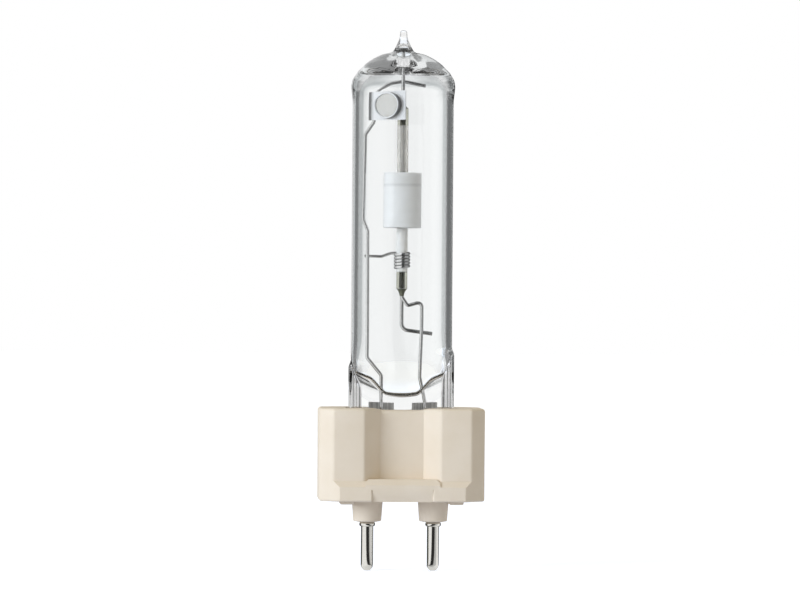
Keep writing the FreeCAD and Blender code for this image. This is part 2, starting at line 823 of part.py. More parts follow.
def build():
    nodes = {}
    nodes["frame_wire_long"] = frame_wire_long()
    nodes["lead_in_wire_short"] = lead_in_wire_short()
    for name, side_x, lead_x in (("left", -1, left_lead_x), ("right", 1, right_lead_x)):
        nodes["lead_out_wire_" + name] = lead_out_wire(side_x, lead_x)
    slots = [foil_slot(left_lead_x), foil_slot(right_lead_x)]
    nodes["outer_bulb"] = outer_bulb(list(nodes.values()) + slots)
    for name, side_x, lead_x in (("left", -1, left_lead_x), ("right", 1, right_lead_x)):
        nodes["sealing_foil_" + name] = sealing_foil(lead_x)
        nodes["contact_pin_" + name] = contact_pin(side_x)
    nodes["ceramic_base"] = ceramic_base()
    nodes["base_cement"] = base_cement()
    nodes["discharge_tube"] = discharge_tube()
    nodes["end_plug_upper"] = end_plug(chamber_high)
    nodes["end_plug_lower"] = end_plug(tube_bottom)
    nodes["capillary_upper"] = capillary(chamber_high, capillary_high)
    nodes["capillary_lower"] = capillary(capillary_low, chamber_low)
    nodes["sealing_frit_upper"] = sealing_frit(capillary_high, 1, upper_frit_cone)
    nodes["sealing_frit_lower"] = sealing_frit(capillary_low, -1, lower_frit_cone)
    nodes["feedthrough_upper"] = feedthrough_upper()
    nodes["feedthrough_lower"] = feedthrough_lower()
    for name, side_z, mouth, chamber in (
        ("upper", 1, capillary_high, chamber_high),
        ("lower", -1, capillary_low, chamber_low),
    ):
        rod_end = chamber + side_z * molybdenum_setback
        tip = chamber - side_z * electrode_reach
        nodes["molybdenum_rod_" + name] = molybdenum_rod(mouth - side_z * frit_depth, rod_end)
        nodes["electrode_" + name] = electrode(rod_end, tip)
        nodes["electrode_coil_" + name] = electrode_coil(tip, side_z)
    nodes["starting_coil"] = starting_coil()
    nodes["getter_plate"] = getter_plate()
    nodes["getter_cup"] = getter_cup()
    nodes["getter_fill"] = getter_fill()
    nodes["salt_dose"] = salt_dose()
    nodes["mercury_droplet"] = mercury_droplet()
    return nodes


os.makedirs("parts", exist_ok=True)
for node, shape in build().items():
    shape.exportStep("parts/" + node + ".step")
    print(f"{node:22s} solids {len(shape.Solids)} valid {shape.isValid()} volume {shape.Volume:9.3f}")
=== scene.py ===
import math
import bmesh
import bpy
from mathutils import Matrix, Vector


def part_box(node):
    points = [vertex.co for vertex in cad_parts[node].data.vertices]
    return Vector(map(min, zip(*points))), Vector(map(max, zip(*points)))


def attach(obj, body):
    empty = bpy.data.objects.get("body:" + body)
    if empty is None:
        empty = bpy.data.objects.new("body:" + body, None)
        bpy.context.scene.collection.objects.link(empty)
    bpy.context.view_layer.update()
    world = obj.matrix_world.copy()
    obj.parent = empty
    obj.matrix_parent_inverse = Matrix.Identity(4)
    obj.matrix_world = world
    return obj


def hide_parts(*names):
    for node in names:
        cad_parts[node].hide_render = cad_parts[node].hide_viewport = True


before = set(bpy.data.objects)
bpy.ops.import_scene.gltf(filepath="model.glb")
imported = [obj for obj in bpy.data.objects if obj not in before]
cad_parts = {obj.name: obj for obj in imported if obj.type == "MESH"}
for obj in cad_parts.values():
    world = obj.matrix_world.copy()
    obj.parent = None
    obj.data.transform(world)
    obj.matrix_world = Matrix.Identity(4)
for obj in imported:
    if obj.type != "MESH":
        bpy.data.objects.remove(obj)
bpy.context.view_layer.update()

# Metal halide lamp: high-resolution quartz bulb, finishes of every piece, studio and camera.
# Lengths are written in millimetres and turned to metres by MM.
MM = 0.001


def size_of(node):
    low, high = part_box(node)
    return low / MM, high / MM


def grey(value):
    return (value, value, value)


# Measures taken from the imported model
BULB_LOW, BULB_HIGH = size_of("outer_bulb")
TIP_TOP = BULB_HIGH.z
PINCH_BOTTOM = BULB_LOW.z
PINCH_HALF_WIDTH = BULB_HIGH.x
PIN_TIP = size_of("contact_pin_left")[0].z
TUBE_LOW, TUBE_HIGH = size_of("discharge_tube")
PLUG_INNER_LOW = size_of("end_plug_lower")[1].z
PLUG_INNER_HIGH = size_of("end_plug_upper")[0].z
CAPILLARY_LOW = size_of("capillary_lower")[0].z
CAPILLARY_HIGH = size_of("capillary_upper")[1].z

# Photograph: pixel scale, the axis of the lamp in it and the camera that took it
PHOTO_WIDTH = 800
PHOTO_HEIGHT = 600
PIXELS_PER_MM = 5.495
UNDERSIDE_PIXEL_Y = 499.9
AXIS_PIXEL_X_AT_MIDDLE = 401.7
AXIS_LEAN_DEG = 0.42
CAMERA_AZIMUTH_DEG = -3.0
CAMERA_DISTANCE = 750.0
CAMERA_NEAR = 50.0
CAMERA_FAR = 20000.0
SENSOR_WIDTH = 36.0

# Area lights: square, both turned to the middle of the object
LIGHT_TINT = (0.87, 0.97, 1.10)
LIGHT_AIM = (0, 0, 30)
KEY_PLACE = (-570, -370, 190)
KEY_SIDE = 300
KEY_POWER = 3.6
FILL_PLACE = (430, 560, 260)
FILL_SIDE = 400
FILL_POWER = 1.8

# Backdrop and floor. The floor's lift is the light it adds to reach the backdrop's white.
WORLD_LIGHT = 0.53
WORLD_TINT = (1.0, 0.945, 0.77)
FLOOR_TINT = (0.80, 0.85, 1.0)
FLOOR_REACH = 3000.0
FLOOR_GAP = 0.02
FLOOR_NEAR = 100.0
FLOOR_FAR = 1000.0
FLOOR_LIFT_NEAR = 0.47
FLOOR_LIFT_FAR = 0.64

# Bright panels and dark gaps round the object, for what glass and metal mirror. They are listed as
# (degrees, brightness), counted from the front by way of the left side. The inner ones are for the
# pieces inside the bulb.
PANELS = [
    (0, 0.03), (20, 0.03), (27, 1.0), (98, 1.0), (106, 0.05), (152, 0.05), (158, 0.9), (180, 0.9),
    (184, 0.05), (240, 0.05), (248, 1.0), (288, 1.0), (294, 0.6), (324, 0.55), (330, 0.03),
]
INNER_PANELS = [
    (0, 0.08), (6, 0.08), (14, 1.0), (112, 1.0), (130, 0.4), (190, 0.05), (240, 0.05), (256, 0.4),
    (310, 0.4), (326, 0.05),
]
# Brightness of the panel overhead, and how steeply a mirrored ray climbs where it starts and is full
TOP_PANEL = 0.8
TOP_PANEL_START = 0.2
TOP_PANEL_FULL = 0.45
# In a mirror the floor is painted dark, as shade under the object, up to the first distance from the
# axis, and bright from the second.
MIRRORED_FLOOR_DARK = 6.0
MIRRORED_FLOOR_BRIGHT = 16.0
# A ray that has passed more glass surfaces than this is inside the bulb.
SURFACES_TO_INSIDE = 3.5
# The glass wall mirrors nothing darker than this.
GLASS_DARK = 0.26
# How often light may bounce: it goes round many times in the thick glass before it leaves.
GLASS_BOUNCES = 24
MIRROR_BOUNCES = 16

# Mesh of the quartz bulb: points in a ring, rings in each stretch, and rings on the straight tube by
# their height over the squeezed end
SEGMENTS = 256
PROFILE_STEPS = 5
SQUEEZE_STEPS = 40
PINCH_STEPS = 10
STRAIGHT_STEPS = (30.0, 15.0, 6.0, 2.0)
WELD_DISTANCE = 0.0005
SLIVER_LENGTH = 0.0002
SHARP_EDGE_DEG = 32

# Round tube, squeezed from FLATTEN_Z down to a flat plate. The plate starts lower in the middle, and
# the pinch widens only near its sides, by the power SIDE_SHARPNESS.
BULB_RADIUS = 9.2
BORE_RADIUS = 8.1
WALL_GROWTH = 0.15
FLATTEN_Z = 30.5
PLATE_START_Z = 16.2
PLATE_START_CURVE = 20
PLATE_HALF_DEPTH = 1.6
SIDE_SHARPNESS = 8

# Ribs at the edges of the pinch, with pressed grooves and a spear point at the top. Flatness and
# fullness are the powers of the rib's section.
RIB_WIDTH = 2.5
RIB_HALF_DEPTH = 2.8
RIB_FLATNESS = 3.2
RIB_FULLNESS = 0.45
RIB_GROOVE = 0.14
RIB_GROOVE_PITCH = 0.56
RIB_INNER_SLOPE = 0.45
RIB_SPEAR = 5.4
RIB_SPEAR_WIDTH = 0.3
RIB_TOP_LEFT = 25.6
RIB_TOP_RIGHT = 27.9
RIB_SPREAD = 1.7
RIB_EDGE_SHARE = 0.2
RIB_EDGE_RISE = 3

# Rounded bottom of the cavity, with a step up beside the middle. The rounding is a share of the
# squeezed length.
BOWL_Z = 19.0
BOWL_CURVE = 0.035
BOWL_FLAT_X = 2.6
BOWL_STEP_WIDTH = 3.2
BOWL_STEP = 2.0
BOWL_ROUNDING_START = 0.93
BOWL_ROUNDING = 0.07

# Turned profiles of the dome and the exhaust tip: (radius, height), from the tube upwards
OUTSIDE_PROFILE = [
    (9.2, 70.0), (9.2, 72.4), (9.36, 74.0), (9.46, 75.3), (9.27, 76.3), (8.89, 77.0), (8.42, 77.75),
    (7.71, 78.46), (7.0, 79.2), (6.12, 79.85), (5.4, 80.3), (4.72, 80.65), (3.9, 81.0), (3.1, 81.2),
    (2.4, 81.35), (1.95, 81.6), (1.72, 81.9), (1.43, 82.4), (1.05, 83.2), (0.8, 83.75), (0.68, 84.3),
    (0.63, 84.9), (0.58, 85.2), (0.44, 85.36), (0.2, TIP_TOP - 0.01), (0.02, TIP_TOP),
]
CAVITY_PROFILE = [
    (8.1, 70.0), (8.1, 73.5), (8.05, 74.65), (7.86, 75.55), (7.43, 76.32), (6.72, 76.92), (5.75, 77.36),
    (4.6, 77.76), (3.4, 78.13), (2.4, 78.45), (1.7, 78.7), (1.3, 79.2), (1.12, 79.9), (1.0, 81.0),
    (0.92, 81.8), (0.8, 82.35), (0.55, 82.7), (0.3, 82.85), (0.02, 82.9),
]

# Painted shade of the quartz, darker towards its edges in place of the dark surroundings that thick glass
# bends into view there: (0 where its surface faces the viewer to 1 where it turns away, colour)
QUARTZ_INDEX = 1.458
CLEAR_GLASS = (0.962, 0.97, 0.97)
TUBE_EDGE_SHADES = [
    (0.0, CLEAR_GLASS), (0.30, (0.962, 0.972, 0.972)), (0.52, (0.88, 0.90, 0.905)),
    (0.575, (0.42, 0.455, 0.46)), (0.66, (0.50, 0.53, 0.54)), (0.78, (0.66, 0.69, 0.70)),
    (1.0, (0.95, 0.97, 0.97)),
]
SHOULDER_EDGE_SHADES = [
    (0.0, CLEAR_GLASS), (0.34, (0.95, 0.96, 0.96)), (0.50, (0.70, 0.73, 0.74)),
    (0.60, (0.30, 0.33, 0.34)), (0.72, (0.50, 0.53, 0.54)), (1.0, (0.80, 0.82, 0.83)),
]
DOME_EDGE_SHADES = [
    (0.0, CLEAR_GLASS), (0.45, (0.90, 0.92, 0.925)), (0.70, (0.66, 0.69, 0.70)),
    (1.0, (0.50, 0.53, 0.54)),
]
TIP_EDGE_SHADES = [
    (0.0, grey(0.90)), (0.25, grey(0.82)), (0.45, grey(0.44)), (0.65, grey(0.18)), (1.0, grey(0.16)),
]
RIB_EDGE_SHADES = [(0.0, grey(0.86)), (0.15, grey(0.6)), (1.0, grey(0.46))]
# Where the painted edge shades change, and how softly. The ribs' painted shade starts by their inner
# edge and goes up to their spear points.
SHOULDER_FOOT_Z = 73.4
SHOULDER_BLEND = 2.0
DOME_FOOT_Z = 77.7
TIP_FOOT_Z = 81.6
DOME_BLEND = 0.3
RIB_SHADE_OUTSIDE = 0.1
RIB_SHADE_INSIDE = 0.3
RIB_SHADE_TOP_Z = 24.0
RIB_SHADE_BLEND = 1.0

# Alumina of the discharge tube and its capillaries
ALUMINA_TINT = (1.0, 0.975, 0.925)
ALUMINA_CLOUDS = 0.03
ALUMINA_INDEX = 1.76
# The capillaries' index is low, so that the wire inside looks no wider than in the photograph.
CAPILLARY_INDEX = 1.28
FRIT_DEPTH = 3.1
FRIT_BLEND = 0.15
SEALED_TINT = (0.77, 0.79, 0.73)
# Painted shade of the discharge tube by height: a little darker where the plugs sit inside its wall,
# most at the upper one
TUBE_PLUG_SHADES = [
    (TUBE_LOW.z, 0.97), (PLUG_INNER_LOW - 0.2, 0.97), (PLUG_INNER_LOW + 0.3, 1.0),
    (PLUG_INNER_HIGH - 0.6, 0.98), (PLUG_INNER_HIGH - 0.12, 0.80), (PLUG_INNER_HIGH + 0.25, 0.95),
    (TUBE_HIGH.z, 0.95),
]

# Getter strip: its turn about the lamp's axis, where the flange is folded, and the painted shade from
# one side of the fold to the other, dark on the flange, which lies in shadow: (share of the stretch,
# tone)
GETTER_ANGLE_DEG = 35.0
GETTER_FOLD = (-5.73, -0.1)
GETTER_SHADES_BEFORE = 0.5
GETTER_SHADES_AFTER = 1.5
GETTER_FLANGE_SHADES = [(0.0, grey(0.14)), (0.23, grey(0.16)), (0.28, grey(0.62)), (0.60, grey(1.0))]


def linked_object(name, data):
    obj = bpy.data.objects.new(name, data)
    bpy.context.scene.collection.objects.link(obj)
    return obj


def make_camera():
    data = bpy.data.cameras.new("camera")
    cam = linked_object("camera", data)
    view_width = PHOTO_WIDTH / PIXELS_PER_MM
    data.sensor_width = SENSOR_WIDTH
    data.lens = SENSOR_WIDTH * CAMERA_DISTANCE / view_width
    data.clip_start = CAMERA_NEAR * MM
    data.clip_end = CAMERA_FAR * MM
    azimuth = math.radians(CAMERA_AZIMUTH_DEG)
    lean = math.radians(-AXIS_LEAN_DEG)
    level = (UNDERSIDE_PIXEL_Y - PHOTO_HEIGHT / 2) / PIXELS_PER_MM
    aside = (PHOTO_WIDTH / 2 - AXIS_PIXEL_X_AT_MIDDLE) / PIXELS_PER_MM
    right = Vector((math.cos(azimuth), math.sin(azimuth), 0))
    back = Vector((math.sin(azimuth), -math.cos(azimuth), 0))
    place = back * CAMERA_DISTANCE + right * aside + Vector((0, 0, level))
    cam.location = place * MM
    cam.rotation_euler = (math.radians(90), lean, azimuth)
    bpy.context.scene.camera = cam


def nodes_of(tree):
    return tree.nodes, tree.links


def new_material(name):
    mat = bpy.data.materials.new(name)
    mat.use_nodes = True
    nodes, links = nodes_of(mat.node_tree)
    return mat, nodes, links, nodes["Principled BSDF"]


def object_noise(nodes, links, scale, detail, roughness=0.55):
    # Noise in the object's own coordinates. The scale is in waves per metre.
    coords = nodes.new("ShaderNodeTexCoord")
    noise = nodes.new("ShaderNodeTexNoise")
    noise.inputs["Scale"].default_value = scale
    noise.inputs["Detail"].default_value = detail
    noise.inputs["Roughness"].default_value = roughness
    links.new(coords.outputs["Object"], noise.inputs["Vector"])
    return noise


def ramp(nodes, links, factor, stops):
    node = nodes.new("ShaderNodeValToRGB")
    elements = node.color_ramp.elements
    while len(elements) < len(stops):
        elements.new(0.5)
    for element, (place, colour) in zip(elements, stops):
        element.position = place
        element.color = (*colour, 1.0)
    links.new(factor, node.inputs["Fac"])
    return node


def bump(nodes, links, height, depth, strength):
    node = nodes.new("ShaderNodeBump")
    node.inputs["Distance"].default_value = depth * MM
    node.inputs["Strength"].default_value = strength
    links.new(height, node.inputs["Height"])
    return node


def ceramic_material():
    mat, nodes, links, shader = new_material("cream_steatite")
    clouds = object_noise(nodes, links, scale=160.0, detail=5.0)
    tint = ramp(nodes, links, clouds.outputs["Fac"], [
        (0.30, (0.745, 0.640, 0.515)), (0.70, (0.785, 0.685, 0.570)),
    ])
    grain = object_noise(nodes, links, scale=2600.0, detail=3.0)
    rough = ramp(nodes, links, grain.outputs["Fac"], [(0.35, grey(0.62)), (0.75, grey(0.78))])
    relief = bump(nodes, links, grain.outputs["Fac"], depth=0.03, strength=0.35)
    links.new(tint.outputs["Color"], shader.inputs["Base Color"])
    links.new(rough.outputs["Color"], shader.inputs["Roughness"])
    links.new(relief.outputs["Normal"], shader.inputs["Normal"])
    shader.inputs["Specular IOR Level"].default_value = 0.35
    return mat


def matt_material(name, dark, light, scale, rough, detail=5.0, uneven=0.65, depth=0.03, strength=0.5):
    # Powdery or glassy mass, with a grain that shows in its colour and its surface.
    mat, nodes, links, shader = new_material(name)
    grain = object_noise(nodes, links, scale, detail, uneven)
    tint = ramp(nodes, links, grain.outputs["Fac"], [(0.3, dark), (0.7, light)])
    relief = bump(nodes, links, grain.outputs["Fac"], depth, strength)
    links.new(tint.outputs["Color"], shader.inputs["Base Color"])
    links.new(relief.outputs["Normal"], shader.inputs["Normal"])
    shader.inputs["Roughness"].default_value = rough
    return mat


def metal_material(name, dark, light, rough, stretch=1.0, metallic=1.0):
    # Drawn or plated metal with a faint grain, drawn out along the lamp where stretch is under 1.
    mat, nodes, links, shader = new_material(name)
    coords = nodes.new("ShaderNodeTexCoord")
    mapping = nodes.new("ShaderNodeMapping")
    mapping.inputs["Scale"].default_value = (1.0, 1.0, stretch)
    noise = nodes.new("ShaderNodeTexNoise")
    noise.inputs["Scale"].default_value = 2200.0
    noise.inputs["Detail"].default_value = 3.0
    links.new(coords.outputs["Object"], mapping.inputs["Vector"])
    links.new(mapping.outputs["Vector"], noise.inputs["Vector"])
    tint = ramp(nodes, links, noise.outputs["Fac"], [(0.3, dark), (0.7, light)])
    gloss = ramp(nodes, links, noise.outputs["Fac"], [(0.3, grey(rough[0])), (0.7, grey(rough[1]))])
    links.new(tint.outputs["Color"], shader.inputs["Base Color"])
    links.new(gloss.outputs["Color"], shader.inputs["Roughness"])
    shader.inputs["Metallic"].default_value = metallic
    return mat


def share_between(nodes, links, value, low, high):
    # 0 at low, 1 at high, held outside them.
    node = nodes.new("ShaderNodeMapRange")
    node.inputs["From Min"].default_value = low
    node.inputs["From Max"].default_value = high
    links.new(value, node.inputs["Value"])
    return node.outputs["Result"]


def two_numbers(nodes, links, kind, first, second):
    node = nodes.new("ShaderNodeMath")
    node.operation = kind
    links.new(first, node.inputs[0])
    if isinstance(second, float):
        node.inputs[1].default_value = second
    else:
        links.new(second, node.inputs[1])
    return node.outputs[0]


def mixed_colour(nodes, links, share, first, second, blend="MIX"):
    # The node's sockets of one name differ by kind of value, so those for colours are found by kind.
    node = nodes.new("ShaderNodeMix")
    node.data_type = "RGBA"
    node.blend_type = blend
    if share is None:
        node.inputs[0].default_value = 1.0
    else:
        links.new(share, node.inputs[0])
    first_input, second_input = [socket for socket in node.inputs if socket.type == "RGBA"]
    links.new(first, first_input)
    links.new(second, second_input)
    return next(socket for socket in node.outputs if socket.type == "RGBA")


def object_place(nodes, links):
    coords = nodes.new("ShaderNodeTexCoord")
    parts = nodes.new("ShaderNodeSeparateXYZ")
    links.new(coords.outputs["Object"], parts.inputs[0])
    return parts.outputs


def share_up(nodes, links, place, low, high):
    # 0 under the height low and 1 over the height high, or the other way round where low is the higher.
    return share_between(nodes, links, place["Z"], low * MM, high * MM)


def glass_material():
    # Clear quartz, with painted shade: its colour is darkened where the surface turns away, in place of
    # the dark surroundings that thick glass bends into view at its edges, and each stretch of the bulb
    # has
    # its own painted edge shades: tube, shoulder, dome, solid tip and pressed ribs.
    mat, nodes, links, shader = new_material("clear_quartz")
    facing = nodes.new("ShaderNodeLayerWeight")
    facing.inputs["Blend"].default_value = 0.5
    place = object_place(nodes, links)
    on_shoulder = share_up(nodes, links, place, SHOULDER_FOOT_Z, SHOULDER_FOOT_Z + SHOULDER_BLEND)
    on_dome = share_up(nodes, links, place, DOME_FOOT_Z - DOME_BLEND, DOME_FOOT_Z + DOME_BLEND)
    on_tip = share_up(nodes, links, place, TIP_FOOT_Z - DOME_BLEND, TIP_FOOT_Z + DOME_BLEND)
    aside = two_numbers(nodes, links, "ABSOLUTE", place["X"], 0.0)
    inner_x = PINCH_HALF_WIDTH - RIB_WIDTH
    start, full = (inner_x - RIB_SHADE_OUTSIDE) * MM, (inner_x + RIB_SHADE_INSIDE) * MM
    by_side = share_between(nodes, links, aside, start, full)
    by_height = share_up(
        nodes, links, place, RIB_SHADE_TOP_Z + RIB_SHADE_BLEND, RIB_SHADE_TOP_Z - RIB_SHADE_BLEND)
    on_ribs = two_numbers(nodes, links, "MULTIPLY", by_side, by_height)
    # Painted shade: the colour darkens towards the edges, by how far the surface turns away.
    tint = ramp(nodes, links, facing.outputs["Facing"], TUBE_EDGE_SHADES).outputs["Color"]
    stretches = [
        (on_shoulder, SHOULDER_EDGE_SHADES), (on_dome, DOME_EDGE_SHADES), (on_tip, TIP_EDGE_SHADES), (on_ribs, RIB_EDGE_SHADES),
    ]
    for share, edge_shades in stretches:
        other = ramp(nodes, links, facing.outputs["Facing"], edge_shades)
        tint = mixed_colour(nodes, links, share, tint, other.outputs["Color"])
    links.new(tint, shader.inputs["Base Color"])
    shader.inputs["Transmission Weight"].default_value = 1.0
    shader.inputs["Roughness"].default_value = 0.0
    shader.inputs["IOR"].default_value = QUARTZ_INDEX
    return mat


def smoothstep(share):
    share = min(max(share, 0.0), 1.0)
    return share * share * (3 - 2 * share)


def shell_faces(rows, count):
    # Quads between rings of points.
    faces = []
    for here in range(0, (rows - 1) * count, count):
        there = here + count
        for i in range(count):
            j = (i + 1) % count
            faces.append((here + i, here + j, there + j, there + i))
    return faces


def spline(points, steps):
    # Smooth curve through profile points, with the given number of steps between two of them.
    curve = []
    for i in range(len(points) - 1):
        before = points[max(i - 1, 0)]
        here, there = points[i], points[i + 1]
        after = points[min(i + 2, len(points) - 1)]
        for step in range(steps):
            t = step / steps
            curve.append(tuple(
                0.5 * (2 * here[k] + (there[k] - before[k]) * t
                       + (2 * before[k] - 5 * here[k] + 4 * there[k] - after[k]) * t * t
                       + (3 * here[k] - before[k] - 3 * there[k] + after[k]) * t ** 3)
                for k in (0, 1)))
    curve.append(points[-1])
    return curve


def rib_height(x, top_z, z):
    # Half thickness of the pinch's edge rib, which narrows to a spear point at its top.
    side = abs(x)
    across = (side - (PINCH_HALF_WIDTH - RIB_WIDTH / 2)) / (RIB_WIDTH / 2)
    if across > 1:
        return 0.0
    body = RIB_HALF_DEPTH * max(0.0, 1 - abs(across) ** RIB_FLATNESS) ** RIB_FULLNESS
    wave = math.cos(2 * math.pi * side / RIB_GROOVE_PITCH)
    body += RIB_GROOVE * wave * max(0.0, 1 - across * across)
    into_spear = max(0.0, z - top_z + RIB_SPEAR)
    inner_edge = PINCH_HALF_WIDTH - RIB_WIDTH + into_spear * (RIB_WIDTH - RIB_SPEAR_WIDTH) / RIB_SPEAR
    return body * smoothstep((side - inner_edge) / RIB_INNER_SLOPE)


def outside_low(x):
    # Height at which the squeezed end has become the flat plate of the pinch.
    return PLATE_START_Z + x * x / PLATE_START_CURVE


def outside_ring(share, below):
    # share 0 to 1 runs down the squeezed end, below 0 to 1 down the pinch.
    ring = []
    for i in range(SEGMENTS):
        turn = 2 * math.pi * i / SEGMENTS
        sideways = math.cos(turn)
        low_z = outside_low(BULB_RADIUS * sideways)
        z = FLATTEN_Z - share * (FLATTEN_Z - low_z)
        z -= below * (low_z - PINCH_BOTTOM)
        top_z = RIB_TOP_RIGHT if sideways > 0 else RIB_TOP_LEFT
        near_edge = abs(sideways) ** SIDE_SHARPNESS
        grow = smoothstep((top_z - z) / RIB_SPREAD) * near_edge
        x = (BULB_RADIUS + grow * (PINCH_HALF_WIDTH - BULB_RADIUS)) * sideways
        flat = smoothstep(share)
        plate = PLATE_HALF_DEPTH * max(0.0, 1 - near_edge) ** 0.5
        depth = (1 - flat) * BULB_RADIUS * abs(math.sin(turn)) + flat * plate
        # The rib is rounded off where the ring turns from its front to its back.
        round_edge = min(1.0, RIB_EDGE_SHARE + RIB_EDGE_RISE * abs(math.sin(turn)))
        depth = max(depth, rib_height(x, top_z, z) * round_edge)
        ring.append((x, math.copysign(depth, math.sin(turn)), z))
    return ring


def bowl_height(x):
    # Height of the cavity's bottom, which steps up beside the middle.
    beside = smoothstep((abs(x) - BOWL_FLAT_X) / BOWL_STEP_WIDTH)
    return BOWL_Z + BOWL_CURVE * x * x + BOWL_STEP * beside


def cavity_ring(share):
    # The wall grows a little thicker while the tube is squeezed, and the bottom is rounded off.
    ring = []
    for i in range(SEGMENTS):
        turn = 2 * math.pi * i / SEGMENTS
        x = BORE_RADIUS * math.cos(turn)
        low_z = bowl_height(x)
        z = FLATTEN_Z - share * (FLATTEN_Z - low_z)
        drop = (FLATTEN_Z - z) / (FLATTEN_Z - outside_low(x))
        half_depth = BULB_RADIUS + smoothstep(drop) * (PLATE_HALF_DEPTH - BULB_RADIUS)
        half_depth -= BULB_RADIUS - BORE_RADIUS + WALL_GROWTH * drop
        rounding = max(0.0, (share - BOWL_ROUNDING_START) / BOWL_ROUNDING)
        round_off = math.sqrt(max(0.0, 1 - rounding ** 2))
        depth = half_depth * abs(math.sin(turn)) * round_off
        ring.append((x, math.copysign(depth, math.sin(turn)), z))
    return ring


def turned_ring(radius, z):
    turns = [2 * math.pi * i / SEGMENTS for i in range(SEGMENTS)]
    return [(radius * math.cos(turn), radius * math.sin(turn), z) for turn in turns]


def turned_rings(profile, tube_radius):
    # Rings from the top of a profile down to the straight tube above the squeezed end.
    rings = [turned_ring(radius, z) for radius, z in reversed(spline(profile, PROFILE_STEPS)[1:])]
    return rings + [turned_ring(tube_radius, FLATTEN_Z + step) for step in STRAIGHT_STEPS]


def quartz_bulb(material):
    outside = turned_rings(OUTSIDE_PROFILE, BULB_RADIUS)
    outside += [outside_ring(step / SQUEEZE_STEPS, 0.0) for step in range(SQUEEZE_STEPS + 1)]
    outside += [outside_ring(1.0, step / PINCH_STEPS) for step in range(1, PINCH_STEPS + 1)]
    cavity = turned_rings(CAVITY_PROFILE, BORE_RADIUS)
    cavity += [cavity_ring(step / SQUEEZE_STEPS) for step in range(SQUEEZE_STEPS + 1)]
    points = [p for ring in outside for p in ring]
    faces = [tuple(reversed(f)) for f in shell_faces(len(outside), SEGMENTS)]
    faces.append(tuple(range(SEGMENTS)))
    last = (len(outside) - 1) * SEGMENTS
    faces.append(tuple(reversed(range(last, last + SEGMENTS))))
    shift = len(points)
    points += [p for ring in cavity for p in ring]
    faces += [tuple(i + shift for i in f) for f in shell_faces(len(cavity), SEGMENTS)]
    faces.append(tuple(reversed(range(shift, shift + SEGMENTS))))
    # The cavity's lowest ring is flat in Y, so its front and back halves are sewn together.
    low = shift + (len(cavity) - 1) * SEGMENTS
    for i in range(SEGMENTS // 2):
        opposite = (SEGMENTS - i) % SEGMENTS
        before_opposite = SEGMENTS - i - 1
        faces.append((low + i, low + i + 1, low + before_opposite, low + opposite))
    mesh = bpy.data.meshes.new("quartz_bulb")
    mesh.from_pydata([tuple(c * MM for c in p) for p in points], [], faces)
    tidy = bmesh.new()
    tidy.from_mesh(mesh)
    bmesh.ops.remove_doubles(tidy, verts=tidy.verts, dist=WELD_DISTANCE * MM)
    bmesh.ops.dissolve_degenerate(tidy, edges=tidy.edges, dist=SLIVER_LENGTH * MM)
    tidy.to_mesh(mesh)
    tidy.free()
    for face in mesh.polygons:
        face.use_smooth = True
    obj = linked_object("quartz_bulb", mesh)
    mesh.materials.append(material)
    # The light reaches the pieces inside as through clear glass.
    obj.visible_shadow = False
    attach(obj, "root")
    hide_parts("outer_bulb")
    return obj


def alumina_material(name, light, through, glow, shade_tones=None):
    # Sintered alumina: milky and glossy. The shade tones are a list of (height, tone) along the lamp:
    # painted shade that darkens the colour there.
    mat, nodes, links, shader = new_material(name)
    clouds = object_noise(nodes, links, scale=500.0, detail=4.0)
    darker = [channel * light - ALUMINA_CLOUDS for channel in ALUMINA_TINT]
    lighter = [channel * light + ALUMINA_CLOUDS for channel in ALUMINA_TINT]
    tint = ramp(nodes, links, clouds.outputs["Fac"], [(0.3, darker), (0.7, lighter)])
    colour = tint.outputs["Color"]
    # Painted shade: the colour is darkened by height along the lamp.
    if shade_tones:
        foot, top = shade_tones[0][0], shade_tones[-1][0]
        up = share_up(nodes, links, object_place(nodes, links), foot, top)
        shades = ramp(nodes, links, up, [((z - foot) / (top - foot), grey(tone)) for z, tone in shade_tones])
        colour = mixed_colour(nodes, links, None, colour, shades.outputs["Color"], "MULTIPLY")
    links.new(colour, shader.inputs["Base Color"])
    shader.inputs["Roughness"].default_value = 0.35
    shader.inputs["Transmission Weight"].default_value = through
    shader.inputs["IOR"].default_value = ALUMINA_INDEX
    shader.inputs["Specular IOR Level"].default_value = 0.3
    shader.inputs["Subsurface Weight"].default_value = 1.0
    shader.inputs["Subsurface Radius"].default_value = (1.0, 1.0, 1.0)
    shader.inputs["Subsurface Scale"].default_value = glow * MM
    return mat


def capillary_material(name, light, through, glow, low, high):
    # Alumina that lets some light through. Between the two heights it is soaked with sealing glass,
    # which makes it clearer and greener.
    mat = alumina_material(name, light, through, glow)
    nodes, links = nodes_of(mat.node_tree)
    shader = nodes["Principled BSDF"]
    place = object_place(nodes, links)
    under = share_up(nodes, links, place, high + FRIT_BLEND, high - FRIT_BLEND)
    above = share_up(nodes, links, place, low - FRIT_BLEND, low + FRIT_BLEND)
    within = two_numbers(nodes, links, "MULTIPLY", under, above)
    sealed = ramp(nodes, links, within, [(0.0, grey(1.0)), (1.0, SEALED_TINT)])
    clear = ramp(nodes, links, within, [(0.0, grey(through)), (1.0, grey(0.95))])
    rough = ramp(nodes, links, within, [(0.0, grey(0.2)), (1.0, grey(0.04))])
    body = shader.inputs["Base Color"].links[0].from_socket
    tint = mixed_colour(nodes, links, None, body, sealed.outputs["Color"], "MULTIPLY")
    links.new(tint, shader.inputs["Base Color"])
    links.new(clear.outputs["Color"], shader.inputs["Transmission Weight"])
    links.new(rough.outputs["Color"], shader.inputs["Roughness"])
    shader.inputs["IOR"].default_value = CAPILLARY_INDEX
    return mat


